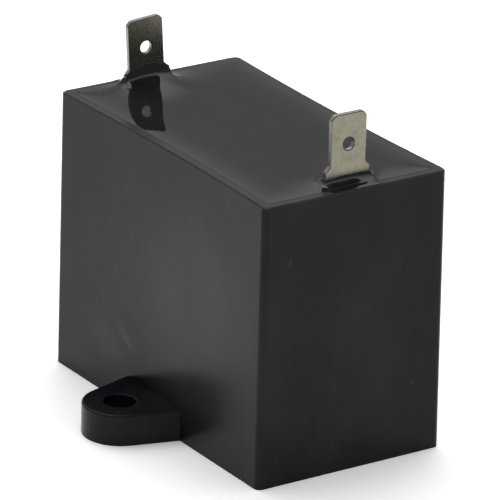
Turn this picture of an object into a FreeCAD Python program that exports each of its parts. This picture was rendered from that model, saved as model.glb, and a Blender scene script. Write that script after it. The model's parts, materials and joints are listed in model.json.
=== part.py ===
import FreeCAD, Part

import math
import os

import Sketcher
from FreeCAD import Rotation, Vector

# Box film capacitor with one mounting ear and two quick-connect tabs.
# A moulded case holds a flattened film winding, which is potted in black resin.
# Each tab is a stamped blade whose leg is soldered flat on one sprayed end of the winding.
#
# Millimetres. +Z is up and the origin is the centre of the case's bottom face.
# X runs along the case, from the rear tab to the front tab. The ear is on the -Y side.

doc = FreeCAD.newDocument("box_film_capacitor")
sheet = doc.addObject("Spreadsheet::Sheet", "sizes")

CASE_SIZES = (
    ("case_length", 58.0),
    ("case_width", 33.0),
    ("case_height", 45.0),
    ("case_corner", 1.0),
    ("cavity_corner", 1.5),
    ("wall", 1.35),
    ("floor_thickness", 1.5),
    # All round, the open rim stands in from the foot by this much on each side.
    ("rim_draw", 0.2),
    # At mid-length the resin, as it shrank, pulled the rim's long sides in by this much more.
    ("wall_bow", 0.65),
    ("rim_break", 0.2),
)
EAR_SIZES = (
    ("ear_root_width", 15.7),
    ("ear_shift", -0.4),
    ("ear_reach", 5.9),
    ("ear_tip_radius", 5.9),
    ("ear_thickness", 5.0),
    ("ear_bore", 5.0),
    ("ear_edge_round", 0.35),
    ("ear_bore_round", 0.2),
)
TAB_SIZES = (
    ("tab_thickness", 0.8),
    ("tab_inset", 3.3),
    ("tab_rise", 10.9),
    ("blade_width", 6.3),
    ("blade_length", 8.0),
    ("tip_chamfer", 0.7),
    ("tip_round", 0.7),
    ("detent_bore", 2.0),
    ("detent_drop", 4.8),
    ("shoulder_width", 7.9),
    ("shoulder_depth", 3.2),
    ("flare_drop", 0.8),
    ("flare_round", 0.3),
    ("leg_width", 4.0),
    ("leg_depth", 24.0),
    ("edge_break", 0.1),
    ("front_tab_shift", 0.35),
    ("rear_tab_shift", -2.8),
    ("rear_tab_lean", 3.7),
)
FILLING_SIZES = (
    ("winding_side_gap", 1.5),
    ("winding_lift", 2.0),
    ("winding_cover", 3.5),
    ("spray_thickness", 0.7),
    ("solder_length", 7.0),
    ("solder_width", 6.4),
    ("solder_cover", 0.5),
    ("crown_rise", 0.3),
    ("crown_slope", 5.0),
    ("crown_edge", 1.0),
    ("crown_edge_rise", 0.1),
    ("front_collar_rise", 0.9),
    ("rear_collar_rise", 1.3),
    ("collar_spread", 1.3),
    ("collar_film", 0.12),
)


def fill_sheet():
    """Write each driving size into the sheet, with its name as the cell's alias."""
    row = 1
    for group in (CASE_SIZES, EAR_SIZES, TAB_SIZES, FILLING_SIZES):
        for alias, size in group:
            sheet.set(f"A{row}", alias)
            sheet.set(f"B{row}", str(size))
            sheet.setAlias(f"B{row}", alias)
            row += 1
    doc.recompute()


def value(expression):
    """The number that an expression on the sheet gives now."""
    return float(sheet.evalExpression(expression))


def new_body(name):
    body = doc.addObject("PartDesign::Body", name)
    body.Label = name
    return body


def new_sketch(body, name, role, offset=None):
    """A sketch on one of the body's own origin planes, raised by an expression."""
    sketch = body.newObject("Sketcher::SketchObject", name)
    plane = next(item for item in body.Origin.OriginFeatures if item.Role == role)
    sketch.AttachmentSupport = [(plane, "")]
    sketch.MapMode = "FlatFace"
    if offset:
        sketch.setExpression("AttachmentOffset.Base.z", offset)
    return sketch


def hold(sketch, name, expression, kind, *geometry):
    """Add a dimension to a sketch and bind it to the sheet."""
    index = sketch.addConstraint(Sketcher.Constraint(kind, *geometry, value(expression)))
    sketch.renameConstraint(index, name)
    sketch.setExpression("Constraints." + name, expression)


def line(start, end):
    return Part.LineSegment(Vector(*start, 0), Vector(*end, 0))


def arc(centre, radius, start_angle, end_angle):
    """An arc drawn anticlockwise, with its angles in radians."""
    circle = Part.Circle(Vector(*centre, 0), Vector(0, 0, 1), radius)
    return Part.ArcOfCircle(circle, start_angle, end_angle)


# Sketcher's numbers for the ends of a curve, and for a sketch's own axes and their crossing.
START, END, CENTRE = range(1, 4)
WIDTH_AXIS, HEIGHT_AXIS = (-1, -2)
ORIGIN = (WIDTH_AXIS, START)


def rounded_outline(sketch, length, width, corner, bow=None, centre=("0", "0")):
    """A rectangle with round corners, about a centre, from expressions.

    With a bow its two long sides are shallow arcs, pressed in by that much at mid-length.
    """
    half_length = value(f"({length}) / 2")
    half_width = value(f"({width}) / 2")
    radius = value(corner)
    across, along = value(centre[0]), value(centre[1])
    turn = 0.0
    corner_y = half_width - radius
    if bow:
        bow_radius = f"(({length}) ^ 2 / 4 + ({bow}) ^ 2) / (2 * ({bow}))"
        side_radius = value(bow_radius)
        side_y = half_width - value(bow) + side_radius
        reach = half_length - radius
        corner_y = side_y - math.sqrt((side_radius + radius) ** 2 - reach**2)
        turn = math.atan2(reach, side_y - corner_y)
    corner_x = half_length - radius
    quarter = math.pi / 2

    def corner_arc(sign_x, sign_y, first):
        start = first - (turn if sign_x * sign_y < 0 else 0)
        end = first + quarter + (turn if sign_x * sign_y > 0 else 0)
        place = (across + sign_x * corner_x, along + sign_y * corner_y)
        return arc(place, radius, start, end)

    def long_side(sign_y):
        if bow:
            middle = (across, along + sign_y * side_y)
            return arc(middle, side_radius, -sign_y * quarter - turn, -sign_y * quarter + turn)
        edge_y = along + sign_y * half_width
        ends = [(across + side * corner_x, edge_y) for side in (-sign_y, sign_y)]
        return line(*ends)

    def end_side(sign_x):
        edge_x = across + sign_x * half_length
        return line((edge_x, along - sign_x * corner_y), (edge_x, along + sign_x * corner_y))

    low_side, low_right, right, high_right, high_side, high_left, left, low_left = range(8)
    sketch.addGeometry(
        [
            long_side(-1),
            corner_arc(1, -1, -quarter),
            end_side(1),
            corner_arc(1, 1, 0.0),
            long_side(1),
            corner_arc(-1, 1, quarter),
            end_side(-1),
            corner_arc(-1, -1, 2 * quarter),
        ],
        False,
    )
    joints = (
        (low_side, START, low_right, START),
        (low_right, END, right, START),
        (right, END, high_right, START),
        (high_right, END, high_side, END),
        (high_side, START, high_left, START),
        (high_left, END, left, START),
        (left, END, low_left, START),
        (low_left, END, low_side, END),
    )
    for joint in joints:
        sketch.addConstraint(Sketcher.Constraint("Tangent", *joint))
    for side in (right, left):
        sketch.addConstraint(Sketcher.Constraint("Vertical", side))
    for other in (high_right, high_left, low_left):
        sketch.addConstraint(Sketcher.Constraint("Equal", low_right, other))
    hold(sketch, "corner", corner, "Radius", low_right)
    centre_x, centre_y = centre
    hold(sketch, "right", f"({length}) / 2 + ({centre_x})", "DistanceX", *ORIGIN, right, START)
    hold(sketch, "left", f"({length}) / 2 - ({centre_x})", "DistanceX", left, START, *ORIGIN)
    if bow:
        for side, name in ((low_side, "low"), (high_side, "high")):
            sketch.addConstraint(Sketcher.Constraint("PointOnObject", side, CENTRE, HEIGHT_AXIS))
            hold(sketch, name + "_radius", bow_radius, "Radius", side)
        middle = f"({width}) / 2 - ({bow}) + {bow_radius}"
        hold(sketch, "low", middle, "DistanceY", low_side, CENTRE, *ORIGIN)
        hold(sketch, "high", middle, "DistanceY", *ORIGIN, high_side, CENTRE)
        return
    for side in (low_side, high_side):
        sketch.addConstraint(Sketcher.Constraint("Horizontal", side))
    hold(sketch, "low", f"({width}) / 2 - ({centre_y})", "DistanceY", low_side, START, *ORIGIN)
    hold(sketch, "high", f"({width}) / 2 + ({centre_y})", "DistanceY", *ORIGIN, high_side, START)


def loft(body, name, kind, sketches):
    """Loft through a row of sketches in straight steps, adding to the body or cutting from it."""
    feature = body.newObject("PartDesign::" + kind, name)
    feature.Profile = (sketches[0], [""])
    feature.Sections = [(sketch, [""]) for sketch in sketches[1:]]
    feature.Ruled = True
    for sketch in sketches:
        sketch.Visibility = False
    doc.recompute()
    return feature


def edge_names(feature, wanted):
    """The names of the edges of a feature's shape for which wanted(edge) is true."""
    return [f"Edge{number}" for number, edge in enumerate(feature.Shape.Edges, 1) if wanted(edge)]


def fillet(body, name, base, names, radius):
    feature = body.newObject("PartDesign::Fillet", name)
    feature.Base = (base, names)
    feature.setExpression("Radius", radius)
    doc.recompute()
    return feature


TOUCH = 1e-4

# The case's inside at its floor, the same inside at its rim, and the winding that is potted in
# it with a named gap on each side.
INNER_LENGTH = "(sizes.case_length - 2 * sizes.wall)"
INNER_WIDTH = "(sizes.case_width - 2 * sizes.wall)"
OPENING_LENGTH = f"({INNER_LENGTH} - 2 * sizes.rim_draw)"
OPENING_WIDTH = f"({INNER_WIDTH} - 2 * sizes.rim_draw)"
WINDING_WIDTH = f"({INNER_WIDTH} - 2 * sizes.winding_side_gap)"
WINDING_BOTTOM = "(sizes.floor_thickness + sizes.winding_lift)"
WINDING_TOP = "(sizes.case_height - sizes.winding_cover)"


def cavity_sketches(body):
    """The case's inside at its floor and at its rim, which the resin fills."""
    low = new_sketch(body, "cavity_floor", "XY_Plane", "sizes.floor_thickness")
    rounded_outline(low, INNER_LENGTH, INNER_WIDTH, "sizes.cavity_corner")
    high = new_sketch(body, "cavity_rim", "XY_Plane", "sizes.case_height")
    rounded_outline(high, OPENING_LENGTH, OPENING_WIDTH, "sizes.cavity_corner", "sizes.wall_bow")
    return [low, high]


def ear_sketch(body):
    """The ear from above: tapered sides, tangent to a round tip, with its bore.

    Its sides run on into the wall, so its width at the wall's face is held by a point there.
    """
    sketch = new_sketch(body, "ear_outline", "XY_Plane")
    sketch.setExpression("AttachmentOffset.Base.x", "sizes.ear_shift")
    face = -value("sizes.case_width / 2")
    seat = face + value("sizes.wall / 2")
    root = value("sizes.ear_root_width / 2")
    radius = value("sizes.ear_tip_radius")
    tip_y = face - value("sizes.ear_reach")
    # The taper at which a line from the root is tangent to the round tip.
    reach = math.hypot(root, face - tip_y)
    taper = math.acos(radius / reach) - math.atan2(face - tip_y, root)
    side = (radius * math.cos(taper), tip_y - radius * math.sin(taper))
    seat_x = root + (seat - face) * math.tan(taper)
    seat_line, right_side, tip, left_side, bore, root_point = range(6)
    sketch.addGeometry(
        [
            line((-seat_x, seat), (seat_x, seat)),
            line((seat_x, seat), side),
            arc((0, tip_y), radius, math.pi + taper, 2 * math.pi - taper),
            line((-side[0], side[1]), (-seat_x, seat)),
            Part.Circle(Vector(0, tip_y, 0), Vector(0, 0, 1), value("sizes.ear_bore / 2")),
        ],
        False,
    )
    sketch.addGeometry(Part.Point(Vector(root, face, 0)), True)
    joints = (
        ("Coincident", seat_line, END, right_side, START),
        ("Tangent", right_side, END, tip, END),
        ("Tangent", tip, START, left_side, START),
        ("Coincident", left_side, END, seat_line, START),
        ("Coincident", bore, CENTRE, tip, CENTRE),
        ("PointOnObject", tip, CENTRE, HEIGHT_AXIS),
        ("Symmetric", seat_line, START, seat_line, END, HEIGHT_AXIS),
        ("PointOnObject", root_point, START, right_side),
    )
    for joint in joints:
        sketch.addConstraint(Sketcher.Constraint(*joint))
    hold(sketch, "root", "sizes.ear_root_width / 2", "DistanceX", *ORIGIN, root_point, START)
    hold(sketch, "face", "sizes.case_width / 2", "DistanceY", root_point, START, *ORIGIN)
    hold(sketch, "seat", "sizes.wall / 2", "DistanceY", root_point, START, seat_line, END)
    hold(sketch, "reach", "sizes.ear_reach", "DistanceY", tip, CENTRE, root_point, START)
    hold(sketch, "tip_radius", "sizes.ear_tip_radius", "Radius", tip)
    hold(sketch, "bore", "sizes.ear_bore / 2", "Radius", bore)
    return sketch


def make_case():
    """The moulded case: an open box with bowed long walls and one solid ear at its foot."""
    body = new_body("case")
    foot = new_sketch(body, "case_foot", "XY_Plane")
    rounded_outline(foot, "sizes.case_length", "sizes.case_width", "sizes.case_corner")
    sketches = [foot]
    rim_levels = (("case_shoulder", "0", "sizes.rim_break"), ("case_rim", "sizes.rim_break", "0"))
    for name, inset, drop in rim_levels:
        sketch = new_sketch(body, name, "XY_Plane", f"sizes.case_height - {drop}")
        length = f"sizes.case_length - 2 * (sizes.rim_draw + {inset})"
        width = f"sizes.case_width - 2 * (sizes.rim_draw + {inset})"
        rounded_outline(sketch, length, width, "sizes.case_corner", "sizes.wall_bow")
        sketches.append(sketch)
    loft(body, "case_block", "AdditiveLoft", sketches)

    ear = body.newObject("PartDesign::Pad", "ear")
    ear.Profile = ear_sketch(body)
    ear.setExpression("Length", "sizes.ear_thickness")
    doc.recompute()

    cavity = loft(body, "cavity", "SubtractiveLoft", cavity_sketches(body))
    assert cavity.Shape.Volume < ear.Shape.Volume, "the cavity has to cut the block"

    ear_top = value("sizes.ear_thickness")
    face = -value("sizes.case_width / 2")

    def on_ear_top(edge):
        box = edge.BoundBox
        level = abs(box.ZMin - ear_top) < TOUCH and abs(box.ZMax - ear_top) < TOUCH
        return level and box.YMin < face - TOUCH

    def on_ear_bore(edge):
        return on_ear_top(edge) and len(edge.Vertexes) == 1

    def on_ear_outline(edge):
        return on_ear_top(edge) and len(edge.Vertexes) == 2

    ear_edge = edge_names(cavity, on_ear_outline)
    rounded = fillet(body, "ear_edge", cavity, ear_edge, "sizes.ear_edge_round")
    bore_edge = edge_names(rounded, on_ear_bore)
    fillet(body, "ear_bore_edge", rounded, bore_edge, "sizes.ear_bore_round")
    return body


def tab_sketch(body):
    """The tab's face: blade, shoulders and leg, with the rim's height at Y = 0.

    One half is drawn from the tip down and mirrored, because the stamping is symmetric.
    """
    sketch = new_sketch(body, "tab_face", "YZ_Plane")
    tip = value("sizes.tab_rise")
    neck = value("sizes.tab_rise - sizes.blade_length")
    blade = value("sizes.blade_width / 2")
    shoulder = value("sizes.shoulder_width / 2")
    flare_end = neck - value("sizes.flare_drop")
    chamfer = value("sizes.tip_chamfer")
    heel = -value("sizes.shoulder_depth")
    leg = value("sizes.leg_width / 2")
    toe = -value("sizes.leg_depth")

    half_outline = (
        (blade - chamfer, tip),
        (blade, tip - chamfer),
        (blade, neck),
        (shoulder, flare_end),
        (shoulder, heel),
        (leg, heel),
        (leg, toe),
    )
    runs = list(zip(half_outline, half_outline[1:]))
    bevel, edge, flare, flank, under, leg_side = range(len(runs))
    mirrored = len(runs)
    curves = []
    for side in (1, -1):
        for start, end in runs:
            curves.append(line((side * start[0], start[1]), (side * end[0], end[1])))
    top = len(curves)
    curves.append(line((-(blade - chamfer), tip), (blade - chamfer, tip)))
    toe_line = len(curves)
    curves.append(line((-leg, toe), (leg, toe)))
    bore = len(curves)
    detent = Vector(0, tip - value("sizes.detent_drop"), 0)
    curves.append(Part.Circle(detent, Vector(0, 0, 1), value("sizes.detent_bore / 2")))
    sketch.addGeometry(curves, False)

    for first in (0, mirrored):
        chain = range(first, first + len(runs))
        for here, after in zip(chain, chain[1:]):
            sketch.addConstraint(Sketcher.Constraint("Coincident", here, END, after, START))
        for upright in (edge, flank, leg_side):
            sketch.addConstraint(Sketcher.Constraint("Vertical", first + upright))
        sketch.addConstraint(Sketcher.Constraint("Horizontal", first + under))
    joints = (
        ("Coincident", top, END, bevel, START),
        ("Coincident", top, START, mirrored + bevel, START),
        ("Coincident", toe_line, END, leg_side, END),
        ("Coincident", toe_line, START, mirrored + leg_side, END),
        ("Symmetric", top, START, top, END, HEIGHT_AXIS),
        ("Symmetric", edge, START, mirrored + edge, START, HEIGHT_AXIS),
        ("Horizontal", edge, END, mirrored + edge, END),
        ("Symmetric", flank, START, mirrored + flank, START, HEIGHT_AXIS),
        ("Horizontal", under, START, mirrored + under, START),
        ("Symmetric", toe_line, START, toe_line, END, HEIGHT_AXIS),
        ("PointOnObject", bore, CENTRE, HEIGHT_AXIS),
    )
    for joint in joints:
        sketch.addConstraint(Sketcher.Constraint(*joint))
    hold(sketch, "blade", "sizes.blade_width / 2", "DistanceX", *ORIGIN, edge, START)
    hold(sketch, "shoulder", "sizes.shoulder_width / 2", "DistanceX", *ORIGIN, flank, START)
    hold(sketch, "leg", "sizes.leg_width / 2", "DistanceX", *ORIGIN, leg_side, START)
    hold(sketch, "chamfer_across", "sizes.tip_chamfer", "DistanceX", top, END, edge, START)
    hold(sketch, "chamfer_down", "sizes.tip_chamfer", "DistanceY", edge, START, top, END)
    hold(sketch, "rise", "sizes.tab_rise", "DistanceY", *ORIGIN, top, END)
    hold(sketch, "blade_length", "sizes.blade_length", "DistanceY", edge, END, top, END)
    hold(sketch, "flare_drop", "sizes.flare_drop", "DistanceY", flare, END, flare, START)
    hold(sketch, "heel", "sizes.shoulder_depth", "DistanceY", under, START, *ORIGIN)
    hold(sketch, "toe", "sizes.leg_depth", "DistanceY", toe_line, START, *ORIGIN)
    hold(sketch, "detent_drop", "sizes.detent_drop", "DistanceY", bore, CENTRE, top, END)
    hold(sketch, "detent_bore", "sizes.detent_bore / 2", "Radius", bore)
    return sketch


FRONT, REAR = "front", "rear"
# Where each end's outward direction points along X.
OUTWARD = {FRONT: 1, REAR: -1}
TAB_SHIFT = {FRONT: "sizes.front_tab_shift", REAR: "sizes.rear_tab_shift"}
TAB_LEAN = {FRONT: "0", REAR: "sizes.rear_tab_lean"}
COLLAR_RISE = {FRONT: "sizes.front_collar_rise", REAR: "sizes.rear_collar_rise"}

# Half of the length of the winding with its sprayed ends, which the tabs' inner faces touch.
CORE_HALF = "(sizes.case_length / 2 - sizes.tab_inset - sizes.tab_thickness)"


def make_tab(end):
    """One stamped blade. It stands in a plane across the case, at its rim, and may lean in it."""
    body = new_body("tab_" + end)
    blank = body.newObject("PartDesign::Pad", "blank")
    blank.Profile = tab_sketch(body)
    blank.setExpression("Length", "sizes.tab_thickness")
    doc.recompute()

    thickness = value("sizes.tab_thickness")
    neck = value("sizes.tab_rise - sizes.blade_length")
    tip_end = value("sizes.tab_rise - sizes.tip_chamfer")

    def cut_edges(feature, low, high):
        """The edges straight through the sheet between two heights, without the detent's."""
        def runs_through(edge):
            box = edge.BoundBox
            through = box.YLength < TOUCH and box.ZLength < TOUCH
            return through and low - TOUCH < box.ZMin < high + TOUCH and abs(box.YMin) > TOUCH
        return edge_names(feature, runs_through)

    flare_end = neck - value("sizes.flare_drop")
    tip_edges = cut_edges(blank, tip_end, value("sizes.tab_rise"))
    rounded = fillet(body, "tip_corners", blank, tip_edges, "sizes.tip_round")
    flare_edges = cut_edges(rounded, flare_end, neck)
    flared = fillet(body, "flare_corners", rounded, flare_edges, "sizes.flare_round")

    def on_blade_rim(edge):
        box = edge.BoundBox
        on_a_face = box.XLength < TOUCH and min(abs(box.XMin), abs(box.XMin - thickness)) < TOUCH
        return on_a_face and box.ZMin > 0

    chamfer = body.newObject("PartDesign::Chamfer", "edge_break")
    chamfer.Base = (flared, edge_names(flared, on_blade_rim))
    chamfer.setExpression("Size", "sizes.edge_break")

    inner_face = CORE_HALF if end == FRONT else f"-({CORE_HALF} + sizes.tab_thickness)"
    body.setExpression("Placement.Base.x", inner_face)
    body.setExpression("Placement.Base.y", TAB_SHIFT[end])
    body.setExpression("Placement.Base.z", "sizes.case_height")
    body.Placement.Rotation = Rotation(Vector(1, 0, 0), value(TAB_LEAN[end]))
    doc.recompute()
    return body


def make_block(name, length):
    """A race-track prism along X, with its lower end face at X = 0, like the pressed winding."""
    body = new_body(name)
    sketch = new_sketch(body, name + "_face", "YZ_Plane")
    half_width = f"{WINDING_WIDTH} / 2"
    radius = value(half_width)
    low = value(f"{WINDING_BOTTOM} + {half_width}")
    high = value(f"{WINDING_TOP} - {half_width}")
    right, top, left, base = range(4)
    sketch.addGeometry(
        [
            line((radius, low), (radius, high)),
            arc((0, high), radius, 0, math.pi),
            line((-radius, high), (-radius, low)),
            arc((0, low), radius, math.pi, 2 * math.pi),
        ],
        False,
    )
    joints = (
        ("Tangent", right, END, top, START),
        ("Tangent", top, END, left, START),
        ("Tangent", left, END, base, START),
        ("Tangent", base, END, right, START),
        ("Vertical", right),
        ("PointOnObject", top, CENTRE, HEIGHT_AXIS),
        ("PointOnObject", base, CENTRE, HEIGHT_AXIS),
    )
    for joint in joints:
        sketch.addConstraint(Sketcher.Constraint(*joint))
    hold(sketch, "radius", half_width, "Radius", top)
    hold(sketch, "low", f"{WINDING_BOTTOM} + {half_width}", "DistanceY", *ORIGIN, base, CENTRE)
    hold(sketch, "high", f"{WINDING_TOP} - {half_width}", "DistanceY", *ORIGIN, top, CENTRE)
    pad = body.newObject("PartDesign::Pad", name + "_block")
    pad.Profile = sketch
    pad.setExpression("Length", length)
    doc.recompute()
    return body


def make_winding():
    """The roll of metallised film, wound round and pressed flat. Its turns are one solid."""
    half = f"({CORE_HALF} - sizes.spray_thickness)"
    body = make_block("film_winding", f"2 * {half}")
    body.setExpression("Placement.Base.x", f"-{half}")
    return body


def make_end_spray(end):
    """The zinc sprayed on one end of the winding, which joins all its turns."""
    body = make_block("end_spray_" + end, "sizes.spray_thickness")
    inner_face = f"{CORE_HALF} - sizes.spray_thickness"
    body.setExpression("Placement.Base.x", inner_face if end == FRONT else f"-{CORE_HALF}")
    return body


# Each step of a solder drop: its share of the drop's outline and of its height.
SOLDER_STEPS = (("foot", 1.0, 0.0), ("shoulder", 0.8, 0.75), ("crest", 0.4, 1.0))
SOLDER_CORNER_SHARE = 0.4


def make_solder(end, tab):
    """The solder that holds a tab's toe on the sprayed end, domed over the leg's outer face."""
    body = new_body("solder_cast_" + end)
    lean = TAB_LEAN[end]
    toe_y = f"{TAB_SHIFT[end]} + sizes.leg_depth * sin({lean} * 1deg)"
    toe_z = f"sizes.case_height - sizes.leg_depth * cos({lean} * 1deg)"
    outward = OUTWARD[end]
    foot_x = f"{outward} * {CORE_HALF}"
    cover = "(sizes.tab_thickness + sizes.solder_cover)"
    sketches = []
    for step, share, climb in SOLDER_STEPS:
        depth = f"{outward} * {climb} * {cover}"
        sketch = new_sketch(body, step, "YZ_Plane", f"{foot_x} + {depth}")
        width = f"{share} * sizes.solder_width"
        height = f"{share} * sizes.solder_length"
        corner = f"{SOLDER_CORNER_SHARE} * {width}"
        rounded_outline(sketch, width, height, corner, centre=(toe_y, toe_z))
        sketches.append(sketch)
    loft(body, "drop", "AdditiveLoft", sketches)
    return cut("solder_" + end, body, tab)


def cut(name, base, tool):
    """A sub-part that another one passes through, with its place cut out."""
    feature = doc.addObject("Part::Cut", name)
    feature.Label = name
    feature.Base = base
    feature.Tool = tool
    doc.recompute()
    return feature


# Each step of a resin collar: its share of the collar's rise and of its spread.
COLLAR_STEPS = (("foot", 0.0, 1.0), ("flank", 0.35, 0.42), ("lip", 1.0, 0.0))
COLLAR_CORNER_SHARE = 0.45


def add_collar(body, end):
    """The resin that climbs a tab, as a ring whose hollow flank thins out towards the metal."""
    middle_x = f"{OUTWARD[end]} * ({CORE_HALF} + sizes.tab_thickness / 2)"
    sketches = []
    for step, climb, spread in COLLAR_STEPS:
        rise = f"{climb} * {COLLAR_RISE[end]}"
        middle_y = f"{TAB_SHIFT[end]} - {rise} * sin({TAB_LEAN[end]} * 1deg)"
        margin = f"2 * ({spread} * sizes.collar_spread + sizes.collar_film)"
        thickness = f"sizes.tab_thickness + {margin}"
        width = f"sizes.shoulder_width + {margin}"
        corner = f"{COLLAR_CORNER_SHARE} * ({thickness})"
        sketch = new_sketch(body, f"collar_{step}_{end}", "XY_Plane", f"sizes.case_height + {rise}")
        rounded_outline(sketch, thickness, width, corner, centre=(middle_x, middle_y))
        sketches.append(sketch)
    loft(body, "collar_" + end, "AdditiveLoft", sketches)


def make_resin(embedded):
    """The potting: it fills the case, stands up in a low crown and leaves room for what it holds."""
    body = new_body("resin_cast")
    low, rim = cavity_sketches(body)
    loft(body, "filling", "AdditiveLoft", [low, rim])

    sketches = [rim]
    for name in ("crown_edge", "crown_slope"):
        inset = "sizes." + name
        rise = {"crown_edge": "sizes.crown_edge_rise", "crown_slope": "sizes.crown_rise"}[name]
        sketch = new_sketch(body, name, "XY_Plane", f"sizes.case_height + {rise}")
        length = f"{OPENING_LENGTH} - 2 * {inset}"
        width = f"{OPENING_WIDTH} - 2 * {inset}"
        rounded_outline(sketch, length, width, "sizes.cavity_corner", "sizes.wall_bow")
        sketches.append(sketch)
    loft(body, "crown", "AdditiveLoft", sketches)
    for end in (FRONT, REAR):
        add_collar(body, end)

    core = doc.addObject("Part::MultiFuse", "embedded")
    core.Shapes = embedded
    return cut("potting_resin", body, core)


def check_model(parts):
    """Stop if anything failed to rebuild or a sub-part isn't one sound solid."""
    for item in doc.Objects:
        assert not {"Invalid", "Error"} & set(item.State), f"{item.Name} failed to rebuild"
    for part in parts:
        shape = part.Shape
        assert not shape.isNull() and shape.isValid(), f"{part.Label} is not a sound shape"
        assert len(shape.Solids) == 1, f"{part.Label} is not one solid"


def export(parts):
    os.makedirs("parts", exist_ok=True)
    for part in parts:
        shape = part.Shape
        shape.exportStep(f"parts/{part.Label}.step")
        box = shape.BoundBox
        print(f"{part.Label}: {shape.Volume:.1f} mm3, X {box.XMin:.2f} to {box.XMax:.2f}, "
              f"Y {box.YMin:.2f} to {box.YMax:.2f}, Z {box.ZMin:.2f} to {box.ZMax:.2f}")


fill_sheet()
case = make_case()
tabs = {end: make_tab(end) for end in (FRONT, REAR)}
winding = make_winding()
sprays = [make_end_spray(end) for end in (FRONT, REAR)]
solders = [make_solder(end, tabs[end]) for end in (FRONT, REAR)]
inner_parts = [winding, *sprays, *tabs.values(), *solders]
resin = make_resin(inner_parts)
doc.recompute()

sub_parts = [case, resin, *inner_parts]
check_model(sub_parts)
export(sub_parts)
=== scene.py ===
# %% [markdown]
# # A box film capacitor
#
# The object is a black moulded case, potted with glossy black resin, with a mounting ear at its
# foot and two flat metal tabs on top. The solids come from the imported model, which is the fixed
# frame: every length below is in metres, +Z is up, and X runs from the rear tab to the front tab.

import json
import math

import bpy
from mathutils import Matrix, Vector


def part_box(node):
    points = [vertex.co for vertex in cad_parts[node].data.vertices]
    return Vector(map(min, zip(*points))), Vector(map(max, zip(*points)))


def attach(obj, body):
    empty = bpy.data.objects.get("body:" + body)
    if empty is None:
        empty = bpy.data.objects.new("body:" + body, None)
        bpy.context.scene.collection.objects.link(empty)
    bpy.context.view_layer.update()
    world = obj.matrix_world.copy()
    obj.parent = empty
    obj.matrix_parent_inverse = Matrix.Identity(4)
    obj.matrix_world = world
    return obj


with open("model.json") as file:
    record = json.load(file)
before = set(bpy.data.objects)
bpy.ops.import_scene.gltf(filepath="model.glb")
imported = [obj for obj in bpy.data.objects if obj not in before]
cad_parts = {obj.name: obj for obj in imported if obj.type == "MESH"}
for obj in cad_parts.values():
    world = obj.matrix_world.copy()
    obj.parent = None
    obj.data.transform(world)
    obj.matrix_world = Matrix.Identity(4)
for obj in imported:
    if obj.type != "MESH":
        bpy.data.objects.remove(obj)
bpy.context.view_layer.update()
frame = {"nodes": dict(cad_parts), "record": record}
nodes = frame["nodes"]
scene = bpy.context.scene
MM = 0.001
print("nodes:", ", ".join(sorted(nodes)))

# %% [markdown]
# ## Camera
#
# A product photographer stands well back with a long lens, so that the case's upright edges stay
# nearly parallel. The camera looks down a little at the corner between the ear's side and the
# end face. It is set by its azimuth, its elevation and a slight roll, and by where it stands,
# because those are what one can work out from the case's corners in a photograph.

# %% Camera
LENS_IN_MM = 395.797
SENSOR_IN_MM = 36.0
CLIP_START = 0.01
AZIMUTH = math.radians(56.406)
ELEVATION = math.radians(21.738)
ROLL = math.radians(1.392)
STAND = Vector((0.65015, -0.431469, 0.336488))


def camera_turn(azimuth, elevation, roll):
    """The rotation of a camera that looks back along an azimuth and an elevation."""
    back = Vector((
        math.sin(azimuth) * math.cos(elevation),
        -math.cos(azimuth) * math.cos(elevation),
        math.sin(elevation),
    ))
    level = Vector((0, 0, 1)).cross(back).normalized()
    upright = back.cross(level)
    right = level * math.cos(roll) + upright * math.sin(roll)
    up = upright * math.cos(roll) - level * math.sin(roll)
    return Matrix((right, up, back)).transposed()


camera_data = bpy.data.cameras.new("camera")
camera_data.sensor_width = SENSOR_IN_MM
camera_data.lens = LENS_IN_MM
camera_data.clip_start = CLIP_START
camera = bpy.data.objects.new("camera", camera_data)
camera.matrix_world = Matrix.Translation(STAND) @ camera_turn(AZIMUTH, ELEVATION, ROLL).to_4x4()
scene.collection.objects.link(camera)
scene.camera = camera
print("camera stands", round(STAND.length, 3), "m from the case's foot")

# %% [markdown]
# ## Shader building blocks
#
# Each material below is a small graph of nodes. Two helpers keep the code short: one adds a node
# and sets its inputs, the other starts a node group with named sockets. A group is the right home
# for an effect that several finishes share, because it is built once and tuned where it is used.

# %% Node helpers
def add_node(tree, kind, settings=None, **inputs):
    """Add a node, set its properties, and set or link its inputs by their names."""
    node = tree.nodes.new("ShaderNode" + kind)
    for name, setting in (settings or {}).items():
        setattr(node, name, setting)
    for name, given in inputs.items():
        connect(tree, node, name.replace("_", " "), given)
    return node


def connect(tree, node, name, given):
    """Feed one input, found by its name or number, from a socket or from a plain value."""
    socket = node.inputs[name]
    if isinstance(given, bpy.types.NodeSocket):
        tree.links.new(given, socket)
    else:
        socket.default_value = given


def sum_up(tree, operation, *given):
    """One Math node: the operation on up to three sockets or numbers."""
    node = add_node(tree, "Math", {"operation": operation})
    for number, item in enumerate(given):
        connect(tree, node, number, item)
    return node.outputs[0]


def remap(tree, value, low, high, to_low=0.0, to_high=1.0, smooth=False):
    """Map a value's range to another one, and hold it there."""
    kind = "SMOOTHSTEP" if smooth else "LINEAR"
    node = add_node(tree, "MapRange", {"interpolation_type": kind})
    for number, item in enumerate((value, low, high, to_low, to_high)):
        connect(tree, node, number, item)
    return node.outputs[0]


def blend_colour(tree, share, first, second):
    """Mix two colours by a share."""
    node = add_node(tree, "Mix", {"data_type": "RGBA"})
    connect(tree, node, 0, share)
    connect(tree, node, 6, first)
    connect(tree, node, 7, second)
    return node.outputs[2]


SOCKETS = {"value": "NodeSocketFloat", "vector": "NodeSocketVector", "colour": "NodeSocketColor"}


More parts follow.
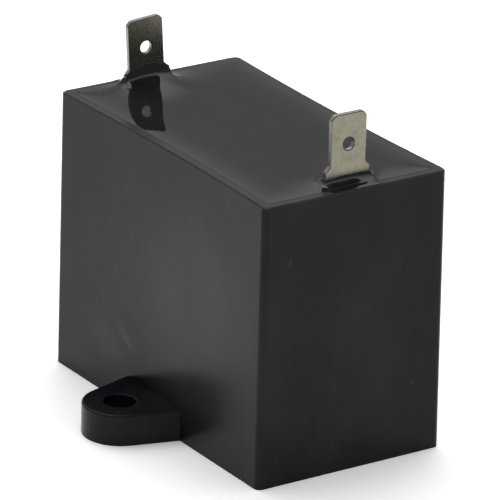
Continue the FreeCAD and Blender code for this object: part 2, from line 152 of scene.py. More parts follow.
def new_group(name, inputs, outputs):
    """Start a node group. Inputs are (name, kind, default) and outputs are (name, kind)."""
    tree = bpy.data.node_groups.new(name, "ShaderNodeTree")
    for label, kind, default in inputs:
        socket = tree.interface.new_socket(label, in_out="INPUT", socket_type=SOCKETS[kind])
        socket.default_value = default
    for label, kind in outputs:
        tree.interface.new_socket(label, in_out="OUTPUT", socket_type=SOCKETS[kind])
    return tree, tree.nodes.new("NodeGroupInput").outputs, tree.nodes.new("NodeGroupOutput")


def use_group(tree, group, **inputs):
    """Place a group in a material and set its inputs by their names."""
    node = tree.nodes.new("ShaderNodeGroup")
    node.node_tree = group
    for name, given in inputs.items():
        connect(tree, node, name.replace("_", " "), given)
    return node.outputs


def scaled_place(tree, place, size):
    """A place divided by a pattern's size along each axis, in mm, so that noise has known grain."""
    node = add_node(tree, "VectorMath", {"operation": "DIVIDE"})
    connect(tree, node, 0, place)
    connect(tree, node, 1, [length * MM for length in size])
    return node.outputs[0]


# %% [markdown]
# ## Group: clouding
#
# No moulded, cast or rolled surface is equally bright all over. Soft patches, a few millimetres
# wide, come from the flow of the melt, from handling and from a film of dust. One noise of chosen
# size does this for every finish here. Its output swings about zero, so a material can add it to
# a roughness or a colour without moving the average.

# %% Clouding
NOISE_LOW = 0.3
NOISE_HIGH = 0.7


def make_clouding():
    tree, given, out = new_group(
        "clouding",
        [("Place", "vector", (0, 0, 0)), ("Detail", "value", 3.0)],
        [("Swing", "value")],
    )
    noise = add_node(tree, "TexNoise", Scale=1.0, Roughness=0.55)
    tree.links.new(given["Place"], noise.inputs["Vector"])
    tree.links.new(given["Detail"], noise.inputs["Detail"])
    swing = remap(tree, noise.outputs[0], NOISE_LOW, NOISE_HIGH, -1.0, 1.0)
    tree.links.new(swing, out.inputs["Swing"])
    return tree


clouding = make_clouding()

# %% [markdown]
# ## Group: specks
#
# Fine dust sits on black plastic as a few pale points. A Voronoi pattern scatters one point in
# each cell; a second, random value per cell picks which of them carry a speck, so that they are
# rare and uneven.

# %% Specks
def make_specks():
    tree, given, out = new_group(
        "specks",
        [("Place", "vector", (0, 0, 0)), ("Share", "value", 0.1), ("Radius", "value", 0.1)],
        [("Mask", "value")],
    )
    cells = add_node(tree, "TexVoronoi", Scale=1.0, Randomness=1.0)
    tree.links.new(given["Place"], cells.inputs["Vector"])
    lots = add_node(tree, "SeparateColor", Color=cells.outputs["Color"])
    picked = sum_up(tree, "LESS_THAN", lots.outputs[0], given["Share"])
    reach = sum_up(tree, "MULTIPLY", given["Radius"], lots.outputs[1])
    spot = sum_up(tree, "LESS_THAN", cells.outputs["Distance"], reach)
    tree.links.new(sum_up(tree, "MULTIPLY", picked, spot), out.inputs["Mask"])
    return tree


specks = make_specks()

# %% [markdown]
# ## Group: grain
#
# The finest relief: the texture that a mould leaves on plastic, the rolling lines of sheet metal,
# the coarse skin of sprayed zinc. It puts out a height for a Bump node. The place that it is given
# sets its size and direction.

# %% Grain
def make_grain():
    tree, given, out = new_group("grain", [("Place", "vector", (0, 0, 0))], [("Height", "value")])
    noise = add_node(tree, "TexNoise", Scale=1.0, Detail=2.0, Roughness=0.5)
    tree.links.new(given["Place"], noise.inputs["Vector"])
    tree.links.new(noise.outputs[0], out.inputs["Height"])
    return tree


grain = make_grain()

# %% [markdown]
# ## Group: mark
#
# Handling leaves single marks: a rubbed streak, a smear, a brown stain beside a hole. Each is a
# soft patch with its own centre, turn and size; the case's painted reflections are laid as such
# patches too. The group lays a unit ball over the surface, fades it towards its edge and breaks it
# up with a fine noise. What the mark does is up to the finish.

# %% Mark
MARK_CORE = 0.15
MARK_GRAIN = 2500.0
MARK_GAP_LOW = 0.4
MARK_GAP_HIGH = 0.6


def make_mark():
    tree, given, out = new_group(
        "mark",
        [
            ("Place", "vector", (0, 0, 0)), ("Centre", "vector", (0, 0, 0)),
            ("Turn", "vector", (0, 0, 0)), ("Size", "vector", (1, 1, 1)),
            ("Broken", "value", 0.5),
        ],
        [("Mask", "value")],
    )
    laid = add_node(tree, "Mapping", {"vector_type": "TEXTURE"})
    tree.links.new(given["Place"], laid.inputs["Vector"])
    tree.links.new(given["Centre"], laid.inputs["Location"])
    tree.links.new(given["Turn"], laid.inputs["Rotation"])
    tree.links.new(given["Size"], laid.inputs["Scale"])
    away = add_node(tree, "VectorMath", {"operation": "LENGTH"})
    connect(tree, away, 0, laid.outputs[0])
    soft = remap(tree, away.outputs["Value"], MARK_CORE, 1.0, 1.0, 0.0, smooth=True)
    fine = add_node(tree, "TexNoise", Scale=MARK_GRAIN, Detail=4.0)
    tree.links.new(given["Place"], fine.inputs["Vector"])
    gaps = remap(tree, fine.outputs[0], MARK_GAP_LOW, MARK_GAP_HIGH, 1.0, 0.0)
    kept = sum_up(tree, "SUBTRACT", 1.0, sum_up(tree, "MULTIPLY", gaps, given["Broken"]))
    tree.links.new(sum_up(tree, "MULTIPLY", soft, kept), out.inputs["Mask"])
    return tree


mark = make_mark()
print("groups:", ", ".join(group.name for group in (clouding, specks, grain, mark)))


def add_marks(tree, place, share, marks):
    """Add marks to a share. Each one is (centre, turn_y, turn_x, size, broken, amount)."""
    for centre, turn_y, turn_x, size, broken, amount in marks:
        found = use_group(
            tree, mark, Place=place, Centre=[length * MM for length in centre],
            Turn=(math.radians(turn_x), math.radians(turn_y), 0),
            Size=[length * MM for length in size], Broken=broken,
        )
        share = sum_up(tree, "MULTIPLY_ADD", found["Mask"], amount, share)
    return share


# %% [markdown]
# ## Starting a material
#
# Each finish starts from the same empty graph and ends in the same way, with a Bump node that turns
# a height into a normal.

# %% Start a material
def new_material(name):
    """A material with an empty graph: its tree, its Principled shader and the object's places."""
    material = bpy.data.materials.new(name)
    material.use_nodes = True
    tree = material.node_tree
    tree.nodes.clear()
    output = add_node(tree, "OutputMaterial")
    shader = add_node(tree, "BsdfPrincipled")
    tree.links.new(shader.outputs[0], output.inputs["Surface"])
    place = add_node(tree, "TexCoord").outputs["Object"]
    return material, tree, shader, place


def set_bump(tree, shader, height, distance):
    """Turn a height into the shader's normal. The distance is how deep a height of 1 is."""
    bump = add_node(tree, "Bump", Strength=1.0, Distance=distance, Height=height)
    tree.links.new(bump.outputs[0], shader.inputs["Normal"])
    return bump


def varied(tree, middle, swing, amount):
    """A middle value that a swing moves by an amount to each side."""
    return sum_up(tree, "MULTIPLY_ADD", swing, amount, middle)


# %% [markdown]
# ## Finish: black moulded plastic
#
# The case is satin: it has almost no colour of its own, and what one sees on it is a blurred
# reflection of the floor. So the base colour is nearly black, and the roughness does the work.
# Faint upright streaks and soft clouds vary it, as the melt ran up the mould's polished walls. The
# rim's flat top is painted a little paler, a painted highlight. Two soft pale patches, a large one
# on the ear's side and a faint one in the middle of the end face, are painted reflection. The other
# marks are those that handling left: a light smear with darker smudges beside it, a few flecks and
# one pit.

# %% Case plastic
CASE_BLACK = (0.005, 0.0047, 0.0085, 1)
# Pale colour of dust, and also of the painted highlight on the rim and the painted reflection
# patches.
CASE_DUST_AND_SHEEN = (0.11, 0.11, 0.105, 1)
CASE_ROUGHNESS = 0.25
CASE_CLOUD_ROUGHNESS = 0.02
CASE_STREAK_ROUGHNESS = 0.01
CASE_IOR = 1.24
CASE_CLOUDS = (9, 9, 14)
CASE_FLOW = (0.9, 0.9, 7)
CASE_STREAKS = (0.45, 0.45, 3.2)
CASE_SPECKS = (7, 7, 7)
CASE_SPECK_SHARE = 0.14
CASE_SPECK_RADIUS = 0.035
CASE_GRAIN = (0.3, 0.3, 0.9)
CASE_RELIEF_DEPTH = 0.05 * MM
GRAIN_SHARE = 0.06
DUST_SHARE = 0.04
CLOUD_SHARE = 0.05
FLOW_SHARE = 0.016
STREAK_SHARE = 0.006
# Painted highlight: how far the rim's flat top is lifted towards the pale colour, and the levels
# where it starts and is full.
RIM_PAINTED_SHEEN = 0.38
RIM_PAINTED_SHEEN_LOW = 44.65 * MM
RIM_PAINTED_SHEEN_HIGH = 44.95 * MM
# Marks on the case: real smears, smudges, flecks, and two patches of painted reflection.
CASE_MARKS_AND_PAINTED_SHEEN = (
    # Painted reflection: a broad pale patch over the ear's side.
    ((10, -16.4, 22), 12, 0, (27, 10, 23), 0.0, 0.34),
    ((-8.7, -16.4, 11), 30, 0, (4.8, 3, 1.3), 0.3, 0.32),
    ((-14, -16.4, 9), 24, 0, (9, 3, 3.2), 0.4, 0.14),
    ((-18.9, -16.4, 5.8), 24, 0, (6, 3, 1.6), 0.35, -0.09),
    ((-7.4, -16.4, 13.9), 28, 0, (6.5, 3, 2.2), 0.35, -0.11),
    ((8.2, -16.4, 36.1), -20, 0, (0.3, 1, 0.7), 0.0, 0.7),
    ((-12.7, -16.4, 34.4), 0, 0, (0.25, 1, 0.3), 0.0, 0.5),
    ((10.2, -16.4, 19), 0, 0, (0.25, 1, 0.25), 0.0, 0.5),
    ((29, -11.6, 35.5), 0, -25, (1, 0.35, 1.1), 0.3, 0.3),
    ((29, 11.2, 11.7), 0, 0, (1, 0.3, 0.3), 0.0, 0.5),
    # Painted reflection: a faint pale patch in the middle of the end face.
    ((29, 2, 24), 0, 0, (3, 14, 18), 0.0, 0.05),
)
CASE_PITS = (((0.9, -16.4, 40.4), 0, 0, (0.75, 1, 0.75), 0.0, -1.0),)


def make_case_plastic():
    material, tree, shader, place = new_material("case_plastic")
    clouds = use_group(tree, clouding, Place=scaled_place(tree, place, CASE_CLOUDS))
    streaks = use_group(
        tree, clouding, Place=scaled_place(tree, place, CASE_STREAKS), Detail=4.0
    )
    flow = use_group(tree, clouding, Place=scaled_place(tree, place, CASE_FLOW))
    dust = use_group(
        tree, specks, Place=scaled_place(tree, place, CASE_SPECKS),
        Share=CASE_SPECK_SHARE, Radius=CASE_SPECK_RADIUS,
    )
    rough = varied(tree, CASE_ROUGHNESS, clouds["Swing"], CASE_CLOUD_ROUGHNESS)
    rough = varied(tree, rough, streaks["Swing"], CASE_STREAK_ROUGHNESS)
    tree.links.new(rough, shader.inputs["Roughness"])
    share = varied(tree, DUST_SHARE, clouds["Swing"], CLOUD_SHARE)
    share = varied(tree, share, flow["Swing"], FLOW_SHARE)
    share = varied(tree, share, streaks["Swing"], STREAK_SHARE)
    level = add_node(tree, "SeparateXYZ", Vector=place).outputs[2]
    # Painted highlight on the rim's flat top.
    rim = remap(tree, level, RIM_PAINTED_SHEEN_LOW, RIM_PAINTED_SHEEN_HIGH, 0.0, RIM_PAINTED_SHEEN, smooth=True)
    share = sum_up(tree, "ADD", share, rim)
    # Real marks and the painted reflection patches.
    share = add_marks(tree, place, share, CASE_MARKS_AND_PAINTED_SHEEN)
    share = remap(tree, sum_up(tree, "MAXIMUM", share, dust["Mask"]), 0.0, 1.0)
    connect(tree, shader, "Base Color", blend_colour(tree, share, CASE_BLACK, CASE_DUST_AND_SHEEN))
    shader.inputs["IOR"].default_value = CASE_IOR
    skin = use_group(tree, grain, Place=scaled_place(tree, place, CASE_GRAIN))
    relief = sum_up(tree, "MULTIPLY", skin["Height"], GRAIN_SHARE)
    relief = add_marks(tree, place, relief, CASE_PITS)
    set_bump(tree, shader, relief, CASE_RELIEF_DEPTH)
    return material


# %% [markdown]
# ## Finish: cast resin
#
# The resin cured against air, so its surface is a liquid's: glossy, with long low waves and no
# grain. A very low roughness keeps the mirror image of the rear tab readable.

# %% Resin
RESIN_BLACK = (0.006, 0.0056, 0.009, 1)
RESIN_DUST = (0.15, 0.145, 0.14, 1)
RESIN_ROUGHNESS = 0.05
RESIN_CLOUD_ROUGHNESS = 0.015
RESIN_IOR = 1.41
RESIN_CLOUDS = (5, 5, 5)
RESIN_SPECKS = (5, 5, 5)
RESIN_SPECK_SHARE = 0.16
RESIN_SPECK_RADIUS = 0.04
RESIN_WAVES = (6, 6, 6)
RESIN_WAVE_DEPTH = 0.02 * MM
RESIN_HAZE = 0.03
RESIN_MARKS = (
    ((-12.8, -14.7, 45.3), 0, 0, (0.35, 0.35, 1), 0.0, 0.4),
    ((-24.3, -11.9, 45.3), 0, 0, (0.3, 0.3, 1), 0.0, 0.4),
    ((7.4, -7.1, 45.5), 0, 0, (0.3, 0.3, 1), 0.0, 0.4),
    ((0, -4, 45.5), 0, 0, (16, 9, 2), 0.6, 0.03),
)


def make_resin():
    material, tree, shader, place = new_material("resin")
    clouds = use_group(tree, clouding, Place=scaled_place(tree, place, RESIN_CLOUDS))
    dust = use_group(
        tree, specks, Place=scaled_place(tree, place, RESIN_SPECKS),
        Share=RESIN_SPECK_SHARE, Radius=RESIN_SPECK_RADIUS,
    )
    rough = varied(tree, RESIN_ROUGHNESS, clouds["Swing"], RESIN_CLOUD_ROUGHNESS)
    tree.links.new(rough, shader.inputs["Roughness"])
    haze = remap(tree, clouds["Swing"], 0.0, 1.0, 0.0, RESIN_HAZE)
    share = add_marks(tree, place, sum_up(tree, "MAXIMUM", dust["Mask"], haze), RESIN_MARKS)
    share = remap(tree, share, 0.0, 1.0)
    connect(tree, shader, "Base Color", blend_colour(tree, share, RESIN_BLACK, RESIN_DUST))
    shader.inputs["IOR"].default_value = RESIN_IOR
    waves = use_group(tree, grain, Place=scaled_place(tree, place, RESIN_WAVES))
    set_bump(tree, shader, waves["Height"], RESIN_WAVE_DEPTH)
    return material


# %% [markdown]
# ## Finish: tinned tab metal
#
# The tabs are stamped from brass sheet that was tinned before stamping, and the tin has gone a
# dull warm grey with a few brown stains. A punch leaves three zones: the flat face, a rolled-over
# lip, and the raw cut edge, which is paler and rougher. The lip is painted darker as painted shade,
# and so is each tab's foot just above the resin. A Bevel node turns the sheet's sharp edges into a
# soft normal. How far that normal leans out of the face tells the zones apart: both tabs are flat
# sheets square to X, so the X part of the normal is all that is needed.

# %% Tab metal
TAB_GREY = (0.18, 0.174, 0.133, 1)
TAB_PALE = (0.25, 0.241, 0.187, 1)
TAB_STAIN = (0.15, 0.105, 0.05, 1)
# Colour of the painted shade in the rolled lip and at the foot.
TAB_SHADE = (0.055, 0.052, 0.042, 1)
TAB_CUT = (0.34, 0.332, 0.295, 1)
TAB_PALE_SHARE = 0.5
TAB_ROUGHNESS = 0.26
TAB_MOTTLE_ROUGHNESS = 0.025
TAB_CUT_ROUGHNESS = 0.45
TAB_LIP = 0.22 * MM
TAB_MOTTLE = (0.32, 0.32, 0.4)
TAB_CLOUDS = (2, 2, 2)
TAB_ROLLING = (0.15, 0.15, 1)
TAB_ROLLING_DEPTH = 0.0015 * MM
MOTTLE_SHARE = 0.4
TAB_CLOUD_SHARE = 0.35
STAIN_SHARE = 0.2
STAIN_START = 0.2
FACE_NORMAL = 0.99
LIP_NORMAL = 0.9
CUT_START_NORMAL = 0.8
CUT_NORMAL = 0.45
# Painted shade: how much the rolled lip is darkened.
LIP_SHADE = 0.85
# Painted shade at each tab's foot: its share, and the levels where it starts and is full.
FOOT_SHADE = 0.7
FOOT_SHADE_TOP = 47.0 * MM
FOOT_SHADE_FULL = 45.7 * MM
TAB_MARKS = (
    ((25.7, -1.75, 52.2), 0, 8, (1, 0.85, 0.18), 0.5, 1.0),
    ((25.7, -1.9, 51.8), 0, 10, (1, 0.6, 0.14), 0.6, 0.8),
    ((25.7, 1.9, 50.7), 0, -30, (1, 0.35, 0.75), 0.6, 0.8),
    ((25.7, 0.6, 48.6), 0, 0, (1, 2.6, 1.0), 0.9, 0.25),
)


def make_tab_metal():
    material, tree, shader, place = new_material("tab_metal")
    rounded = add_node(tree, "Bevel", {"samples": 8}, Radius=TAB_LIP)
    own = add_node(
        tree, "VectorTransform",
        {"vector_type": "NORMAL", "convert_from": "WORLD", "convert_to": "OBJECT"},
        Vector=rounded.outputs[0],
    )
    parts = add_node(tree, "SeparateXYZ", Vector=own.outputs[0])
    flat = sum_up(tree, "ABSOLUTE", parts.outputs[0])
    cut = remap(tree, flat, CUT_START_NORMAL, CUT_NORMAL, smooth=True)
    lip = sum_up(tree, "SUBTRACT", remap(tree, flat, FACE_NORMAL, LIP_NORMAL, smooth=True), cut)
    mottle = use_group(tree, clouding, Place=scaled_place(tree, place, TAB_MOTTLE), Detail=4.0)
    clouds = use_group(tree, clouding, Place=scaled_place(tree, place, TAB_CLOUDS))
    share = varied(tree, TAB_PALE_SHARE, mottle["Swing"], MOTTLE_SHARE)
    share = varied(tree, share, clouds["Swing"], TAB_CLOUD_SHARE)
    tone = blend_colour(tree, remap(tree, share, 0.0, 1.0), TAB_GREY, TAB_PALE)
    stains = remap(tree, clouds["Swing"], STAIN_START, 1.0, 0.0, STAIN_SHARE, smooth=True)
    stains = remap(tree, add_marks(tree, place, stains, TAB_MARKS), 0.0, 1.0)
    tone = blend_colour(tree, stains, tone, TAB_STAIN)
    level = add_node(tree, "SeparateXYZ", Vector=place).outputs[2]
    # Painted shade at the foot, fading in towards the resin.
    foot = remap(tree, level, FOOT_SHADE_TOP, FOOT_SHADE_FULL, 0.0, FOOT_SHADE, smooth=True)
    tone = blend_colour(tree, foot, tone, TAB_SHADE)
    tone = blend_colour(tree, cut, tone, TAB_CUT)
    # Painted shade in the rolled lip.
    tone = blend_colour(tree, sum_up(tree, "MULTIPLY", lip, LIP_SHADE), tone, TAB_SHADE)
    connect(tree, shader, "Base Color", tone)
    rough = varied(tree, TAB_ROUGHNESS, mottle["Swing"], TAB_MOTTLE_ROUGHNESS)
    rough = varied(tree, rough, cut, TAB_CUT_ROUGHNESS - TAB_ROUGHNESS)
    tree.links.new(rough, shader.inputs["Roughness"])
    shader.inputs["Metallic"].default_value = 1.0
    rolling = use_group(tree, grain, Place=scaled_place(tree, place, TAB_ROLLING))
    bump = set_bump(tree, shader, rolling["Height"], TAB_ROLLING_DEPTH)
    tree.links.new(rounded.outputs[0], bump.inputs["Normal"])
    return material


# %% [markdown]
# ## Finishes of what the resin hides
#
# The winding, the zinc sprayed on its ends and the solder can't be seen, but each has its own
# finish, so that the part can be opened up or cut through and still look right.

# %% Inner finishes
FILM_DARK = (0.5, 0.51, 0.53, 1)
FILM_LIGHT = (0.7, 0.71, 0.73, 1)
FILM_ROUGHNESS = 0.3
FILM_METALLIC = 0.6
FILM_TURNS = (30, 0.2, 0.2)
FILM_TURN_DEPTH = 0.01 * MM
ZINC_DARK = (0.3, 0.31, 0.32, 1)
ZINC_LIGHT = (0.55, 0.56, 0.57, 1)
ZINC_ROUGHNESS = 0.7
ZINC_METALLIC = 0.7
ZINC_CRUST = (0.25, 0.25, 0.25)
ZINC_CRUST_DEPTH = 0.06 * MM
SOLDER_GREY = (0.68, 0.69, 0.7, 1)
SOLDER_ROUGHNESS = 0.3
SOLDER_CLOUD_ROUGHNESS = 0.08
SOLDER_CLOUDS = (1, 1, 1)


def make_film():
    material, tree, shader, place = new_material("film")
    turns = use_group(tree, grain, Place=scaled_place(tree, place, FILM_TURNS))
    tone = blend_colour(tree, turns["Height"], FILM_DARK, FILM_LIGHT)
    connect(tree, shader, "Base Color", tone)
    shader.inputs["Roughness"].default_value = FILM_ROUGHNESS
    shader.inputs["Metallic"].default_value = FILM_METALLIC
    set_bump(tree, shader, turns["Height"], FILM_TURN_DEPTH)
    return material


def make_zinc():
    material, tree, shader, place = new_material("zinc_spray")
    crust = use_group(tree, grain, Place=scaled_place(tree, place, ZINC_CRUST))
    tone = blend_colour(tree, crust["Height"], ZINC_DARK, ZINC_LIGHT)
    connect(tree, shader, "Base Color", tone)
    shader.inputs["Roughness"].default_value = ZINC_ROUGHNESS
    shader.inputs["Metallic"].default_value = ZINC_METALLIC
    set_bump(tree, shader, crust["Height"], ZINC_CRUST_DEPTH)
    return material


def make_solder():
    material, tree, shader, place = new_material("solder")
    clouds = use_group(tree, clouding, Place=scaled_place(tree, place, SOLDER_CLOUDS))
    rough = varied(tree, SOLDER_ROUGHNESS, clouds["Swing"], SOLDER_CLOUD_ROUGHNESS)
    tree.links.new(rough, shader.inputs["Roughness"])
    shader.inputs["Base Color"].default_value = SOLDER_GREY
    shader.inputs["Metallic"].default_value = 1.0
    return material


# %% [markdown]
# ## Putting the finishes on
#
# The record says which material slot each node has, so the slot's finish goes on by that name.

# %% Put the finishes on
FINISHES = {
    "case_plastic": make_case_plastic(),
    "resin": make_resin(),
    "tab_metal": make_tab_metal(),
    "film": make_film(),
    "zinc_spray": make_zinc(),
    "solder": make_solder(),
}
NODE_FINISH = {part["node"]: part["material_slot"] for part in frame["record"]["subparts"]}
for name, node in nodes.items():
    node.data.materials.clear()
    node.data.materials.append(FINISHES[NODE_FINISH[name]])
print("finishes:", ", ".join(sorted(set(NODE_FINISH.values()))))

# %% [markdown]
# ## Resin surface
#
# A poured resin shrinks and creeps as it cures. It stays pinned at the rim's inner edge, stands a
# little proud in the middle, swells into a mound at each tab and climbs the tab in a thin collar.
# Beside the tabs it ran over the rim, where it lies as a low lip. The solid below has this form in
# straight steps. Here it gets its true liquid skin: a fine grid over the opening, and a small one
# for each lip, with a height that is worked out at every point from a few gentle rules.

# %% Resin surface sizes
CASE_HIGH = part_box("case")[1]
RIM_Z = CASE_HIGH.z
WALL = 1.35 * MM
RIM_DRAW = 0.2 * MM
BOW = 0.65 * MM
CAVITY_CORNER = 1.5 * MM
HALF_LENGTH = CASE_HIGH.x - RIM_DRAW - WALL
HALF_WIDTH = CASE_HIGH.y - RIM_DRAW - WALL
BOW_RADIUS = (HALF_LENGTH**2 + BOW**2) / (2 * BOW)
print("resin opening:", round(2 * HALF_LENGTH / MM, 1), "by", round(2 * HALF_WIDTH / MM, 1), "mm")


def half_width(x):
    """Half the width of the opening at x, between the bowed walls and inside the corners."""
    bowed = HALF_WIDTH - BOW + BOW_RADIUS - math.sqrt(BOW_RADIUS**2 - x**2)
    into_corner = abs(x) - (HALF_LENGTH - CAVITY_CORNER)
    if into_corner <= 0:
        return bowed
    into_corner = min(into_corner, CAVITY_CORNER)
    return bowed - CAVITY_CORNER + math.sqrt(CAVITY_CORNER**2 - into_corner**2)


# %% [markdown]
# ## Rules for the resin's height
#
# Each rule is a smooth curve of one distance. From a pinned edge the surface rises and levels off.
# A mound falls away from its tab like a bell. The film on a tab's faces and edges dies out quickly,
# and on the rear tab it ends in a wider skirt. Each tab has its own sizes: how high and wide its
# mound is and how lumpy, and how high the film climbs at each end of its edge and of its face.

# %% Resin height
CROWN = 0.45 * MM
CROWN_REACH = 2.8 * MM
REAR_REACH = 4.0 * MM
SKIN_LIFT = 0.02 * MM
LIP_INSET = 0.15 * MM
OUTER_LENGTH = CASE_HIGH.x - RIM_DRAW - LIP_INSET
MOUND_PIN = 3.0 * MM
LUMPS_ACROSS = 1.9 / MM
LUMPS_ALONG = 1.3 / MM
LUMPS_SKEW = 0.6 / MM
SPILL_PIN = 0.7 * MM
SPILL_FADE = 1.1 * MM
SPILL_START = 0.3 * MM
SKIRT = 1.0 * MM
EDGE_FILM = 0.5 * MM
TAB_HALF_THICKNESS = 0.4 * MM
TAB_HALF_WIDTH = 3.95 * MM
PINNED = 0.001 * MM
FRONT_LOW, FRONT_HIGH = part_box("tab_front")
REAR_LOW, REAR_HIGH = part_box("tab_rear")
TABS = (
    {
        "x": (FRONT_LOW.x + FRONT_HIGH.x) / 2, "y": 0.35 * MM, "mound": 0.38 * MM,
        "spread": 3.4 * MM, "lumps": 0.1, "low": 0.66 * MM, "high": 0.75 * MM,
        "face_low": 0.62 * MM, "face_high": 0.75 * MM, "arch": 0.0, "film": 0.46 * MM,
        "skirt": 0.0,
    },
    {
        "x": (REAR_LOW.x + REAR_HIGH.x) / 2, "y": -2.87 * MM, "mound": 1.05 * MM,
        "spread": 4.2 * MM, "lumps": 0.02, "low": 0.85 * MM, "high": 0.95 * MM,
        "face_low": 1.2 * MM, "face_high": 1.5 * MM, "arch": 0.7 * MM, "film": 0.3 * MM,
        "skirt": 0.45,
    },
)


def rise_from(distance, reach):
    """How far a surface that is pinned at an edge has risen at a distance from it, as a share."""
    return 1 - math.exp(-max(distance, 0) / reach)


def inward(x, y):
    """How far a point lies inside the opening. The nearest wall counts most."""
    from_end = HALF_LENGTH - abs(x)
    if x < 0:
        from_end *= CROWN_REACH / REAR_REACH
    from_side = half_width(min(abs(x), HALF_LENGTH)) - abs(y)
    nearest = min(from_end, from_side)
    if nearest < PINNED:
        return 0.0
    return (from_end**-3 + from_side**-3) ** (-1 / 3)


def spill_share(y, tab):
    """1 beside a tab, falling smoothly to 0 where the resin no longer runs over the rim."""
    past = (abs(y - tab["y"]) - TAB_HALF_WIDTH + SPILL_START) / SPILL_FADE
    past = min(max(past, 0), 1)
    return 1 - past * past * (3 - 2 * past)


def mound(x, y, tab):
    """The swell around a tab: it runs out over the rim beside the tab and is pinned elsewhere."""
    away = math.hypot(x - tab["x"], y - tab["y"])
    swell = tab["mound"] * math.exp(-((away / tab["spread"]) ** 2) / 2)
    lumps = math.sin(LUMPS_ACROSS * y + LUMPS_SKEW * x) * math.sin(LUMPS_ALONG * x)
    swell *= 1 + tab["lumps"] * lumps
    spilt = spill_share(y, tab)
    pinned = rise_from(HALF_LENGTH - abs(x), MOUND_PIN) * (1 - spilt)
    pinned += rise_from(OUTER_LENGTH - abs(x), SPILL_PIN) * spilt
    return swell * pinned * rise_from(half_width(x) - abs(y), MOUND_PIN)


def collar(x, y, tab):
    """The film that climbs a tab: higher on the face that looks down the case's length."""
    out_x = x - tab["x"]
    past_x = max(abs(out_x) - TAB_HALF_THICKNESS, 0)
    past_y = max(abs(y - tab["y"]) - TAB_HALF_WIDTH, 0)
    away = math.hypot(past_x, past_y)
    along = min(max((y - tab["y"]) / (2 * TAB_HALF_WIDTH) + 0.5, 0), 1)
    edge_climb = tab["low"] + (tab["high"] - tab["low"]) * along
    face_climb = tab["face_low"] + (tab["face_high"] - tab["face_low"]) * along
    face_climb += tab["arch"] * 4 * along * (1 - along)
    front = past_x / away if away > 0 else 1.0
    front = front if out_x > 0 else 0.0
    steep = math.exp(-away / tab["film"])
    edge = math.exp(-away / EDGE_FILM)
    skirt = math.exp(-away / SKIRT)
    face = face_climb * ((1 - tab["skirt"]) * steep + tab["skirt"] * skirt)
    return face * front + edge_climb * edge * (1 - front)


def resin_height(x, y):
    """The height of the resin above the rim, over the opening and over the rim beside a tab."""
    height = CROWN * rise_from(inward(x, y), CROWN_REACH)
    for tab in TABS:
        height += mound(x, y, tab) + collar(x, y, tab)
    return height + SKIN_LIFT


# %% [markdown]
# ## Grids of resin
#
# The grid's lines lie close together where the height changes fast: along the walls, and beside
# the tabs. Each grid is closed underneath, so that it is a thin solid and can be cut or measured.

# %% Resin grid
COARSE_X = 0.6 * MM
FINE_X = 0.07 * MM
SPREAD_X = 4 * MM
COARSE_Y = 0.4 * MM
FINE_Y = 0.08 * MM
SPREAD_Y = 2 * MM
LIP_COUNT_X = 16
LIP_COUNT_Y = 70
LIP_OVERLAP = 0.1 * MM
LIP_END_SINK = 0.5
LIP_UNDER_SKIN = 0.25 * SKIN_LIFT
LIP_DEPTH = 2 * SKIN_LIFT


def graded(low, high, coarse, focus, fine, spread):
    """Places from low to high, spaced finely near each focus and coarsely away from them."""
    places = [low]
    while places[-1] < high:
        here = places[-1]
        near = min(abs(here - point) for point in focus)
        places.append(here + fine + (coarse - fine) * min(near / spread, 1) ** 2)
    scale = (high - low) / (places[-1] - low)
    return [low + (place - low) * scale for place in places]


def close_grid(name, top, under, count_x, count_y):
    """One closed thin solid from a grid of top points and the points right under them."""
    offset = len(top)
    faces = []
    for i in range(count_x - 1):
        for j in range(count_y - 1):
            a, b = i * count_y + j, (i + 1) * count_y + j
            faces.append((a, b, b + 1, a + 1))
            faces.append((a + offset + 1, b + offset + 1, b + offset, a + offset))
    border = [i * count_y for i in range(count_x)]
    border += [(count_x - 1) * count_y + j for j in range(1, count_y)]
    border += [i * count_y + count_y - 1 for i in range(count_x - 2, -1, -1)]
    border += [j for j in range(count_y - 2, 0, -1)]
    for here, after in zip(border, border[1:] + border[:1]):
        faces.append((here, here + offset, after + offset, after))
    mesh = bpy.data.meshes.new(name)
    mesh.from_pydata(top + under, [], faces)
    mesh.validate()
    mesh.shade_smooth()
    skin = bpy.data.objects.new(name, mesh)
    scene.collection.objects.link(skin)
    mesh.materials.append(FINISHES["resin"])
    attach(skin, "root")
    print(name + ":", len(faces), "faces, grid", count_x, "by", count_y)


def make_resin_skin():
    """The skin over the opening, pinned along the rim's inner edge."""
    focus_x = [-HALF_LENGTH, HALF_LENGTH] + [tab["x"] for tab in TABS]
    lines_x = graded(-HALF_LENGTH, HALF_LENGTH, COARSE_X, focus_x, FINE_X, SPREAD_X)
    tab_edges = [tab["y"] + side * TAB_HALF_WIDTH for tab in TABS for side in (-1, 1)]
    focus_y = [-HALF_WIDTH, HALF_WIDTH] + tab_edges
    lines_y = graded(-HALF_WIDTH, HALF_WIDTH, COARSE_Y, focus_y, FINE_Y, SPREAD_Y)
    top, under = [], []
    for x in lines_x:
        for y in lines_y:
            across = y / HALF_WIDTH * half_width(x)
            top.append((x, across, RIM_Z + resin_height(x, across)))
            under.append((x, across, RIM_Z - SKIN_LIFT))
    close_grid("resin_skin", top, under, len(lines_x), len(lines_y))


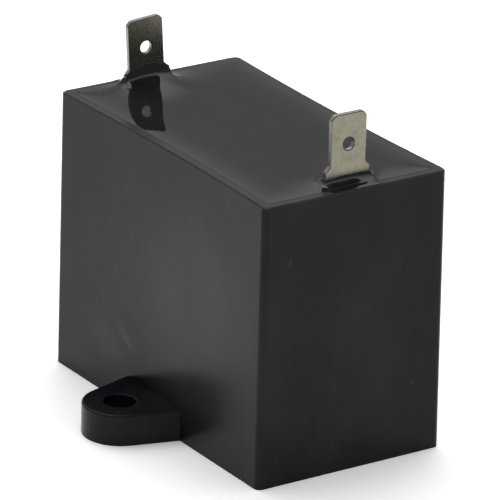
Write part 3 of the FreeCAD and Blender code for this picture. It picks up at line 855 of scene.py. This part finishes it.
def make_spill(name, tab):
    """The lip of resin that ran over the rim beside a tab. Its ends sink just under the rim."""
    side = math.copysign(1, tab["x"])
    reach = TAB_HALF_WIDTH + SPILL_FADE
    low_x, high_x = sorted((side * (HALF_LENGTH - LIP_OVERLAP), side * OUTER_LENGTH))
    top, under = [], []
    for i in range(LIP_COUNT_X):
        x = low_x + (high_x - low_x) * i / (LIP_COUNT_X - 1)
        for j in range(LIP_COUNT_Y):
            y = tab["y"] - reach + 2 * reach * j / (LIP_COUNT_Y - 1)
            spilt = spill_share(y, tab)
            height = mound(x, y, tab) + collar(x, y, tab) * spilt
            height += SKIN_LIFT * ((1 + LIP_END_SINK) * spilt - LIP_END_SINK)
            if abs(x) < HALF_LENGTH:
                height = resin_height(x, y) - LIP_UNDER_SKIN
            top.append((x, y, RIM_Z + height))
            under.append((x, y, RIM_Z - LIP_DEPTH))
    close_grid(name, top, under, LIP_COUNT_X, LIP_COUNT_Y)


make_resin_skin()
make_spill("resin_spill_front", TABS[0])
make_spill("resin_spill_rear", TABS[1])

# %% [markdown]
# ## Floor
#
# A plain white sheet that runs on past the picture. White paper under this light renders a little
# below white, so where the camera, a reflection or a refraction looks at it, its colour is lifted
# past white. For the light that it throws on the object it stays honest paper, and because the
# lift multiplies the light that falls on it, it keeps the object's shadow.

# %% Floor
FLOOR_HALF = 0.4
FLOOR_WHITE = 0.8
FLOOR_SEEN = 1.5
FLOOR_LIFT = 0.1


def make_floor():
    mesh = bpy.data.meshes.new("floor")
    corners = ((-1, -1), (1, -1), (1, 1), (-1, 1))
    mesh.from_pydata([(x * FLOOR_HALF, y * FLOOR_HALF, 0) for x, y in corners], [], [(0, 1, 2, 3)])
    floor = bpy.data.objects.new("floor", mesh)
    scene.collection.objects.link(floor)
    material = bpy.data.materials.new("white_sheet")
    material.use_nodes = True
    tree = material.node_tree
    tree.nodes.clear()
    rays = add_node(tree, "LightPath").outputs
    seen = sum_up(tree, "ADD", rays["Is Camera Ray"], rays["Is Glossy Ray"])
    seen = sum_up(tree, "ADD", seen, rays["Is Transmission Ray"])
    tone = remap(tree, seen, 0.0, 1.0, FLOOR_WHITE, FLOOR_SEEN)
    paper = add_node(tree, "BsdfDiffuse", Color=tone)
    lift = add_node(tree, "Emission", Strength=sum_up(tree, "MULTIPLY", seen, FLOOR_LIFT))
    both = add_node(tree, "AddShader")
    tree.links.new(paper.outputs[0], both.inputs[0])
    tree.links.new(lift.outputs[0], both.inputs[1])
    output = add_node(tree, "OutputMaterial")
    tree.links.new(both.outputs[0], output.inputs["Surface"])
    mesh.materials.append(material)


make_floor()
print("floor:", 2 * FLOOR_HALF, "m square")

# %% [markdown]
# ## Light
#
# Black gloss shows its surroundings and nothing else, so the light is a smooth dome with no edge
# that could be mirrored as a hard line. It is dim near the horizon and bright overhead, and its
# bright cap leans towards the rear end of the case. Each slope of the resin that faces the cap then
# glows softly, and a brighter core in the cap gives edges and flecks their small glints. An area
# lamp would light as well, but its outline would show.

# %% Dome
DOME_SIDE = Vector((-0.9, 0.4, 0)).normalized()
DOME_LEAN = math.radians(22)
DOME_LOW = 0.36
DOME_HIGH = 1.5
DOME_FADE_START = 0.66
DOME_FADE_END = 0.92
DOME_CORE = 1.6
DOME_CORE_START = 0.94
DOME_CORE_END = 0.99


def make_dome():
    """The world: its strength rises smoothly towards the cap's centre."""
    centre = DOME_SIDE * math.sin(DOME_LEAN) + Vector((0, 0, 1)) * math.cos(DOME_LEAN)
    world = bpy.data.worlds.new("dome")
    world.use_nodes = True
    tree = world.node_tree
    direction = add_node(tree, "TexCoord").outputs["Generated"]
    towards = add_node(tree, "VectorMath", {"operation": "DOT_PRODUCT"})
    connect(tree, towards, 0, direction)
    connect(tree, towards, 1, centre)
    glow = remap(
        tree, towards.outputs["Value"], DOME_FADE_START, DOME_FADE_END, DOME_LOW, DOME_HIGH,
        smooth=True,
    )
    core = remap(
        tree, towards.outputs["Value"], DOME_CORE_START, DOME_CORE_END, 0.0, DOME_CORE, smooth=True
    )
    glow = sum_up(tree, "ADD", glow, core)
    background = tree.nodes["Background"]
    connect(tree, background, "Color", (1, 1, 1, 1))
    connect(tree, background, "Strength", glow)
    scene.world = world


make_dome()
scene.view_settings.view_transform = "Standard"
print("dome: from", DOME_LOW, "near the horizon to", DOME_HIGH, "overhead")
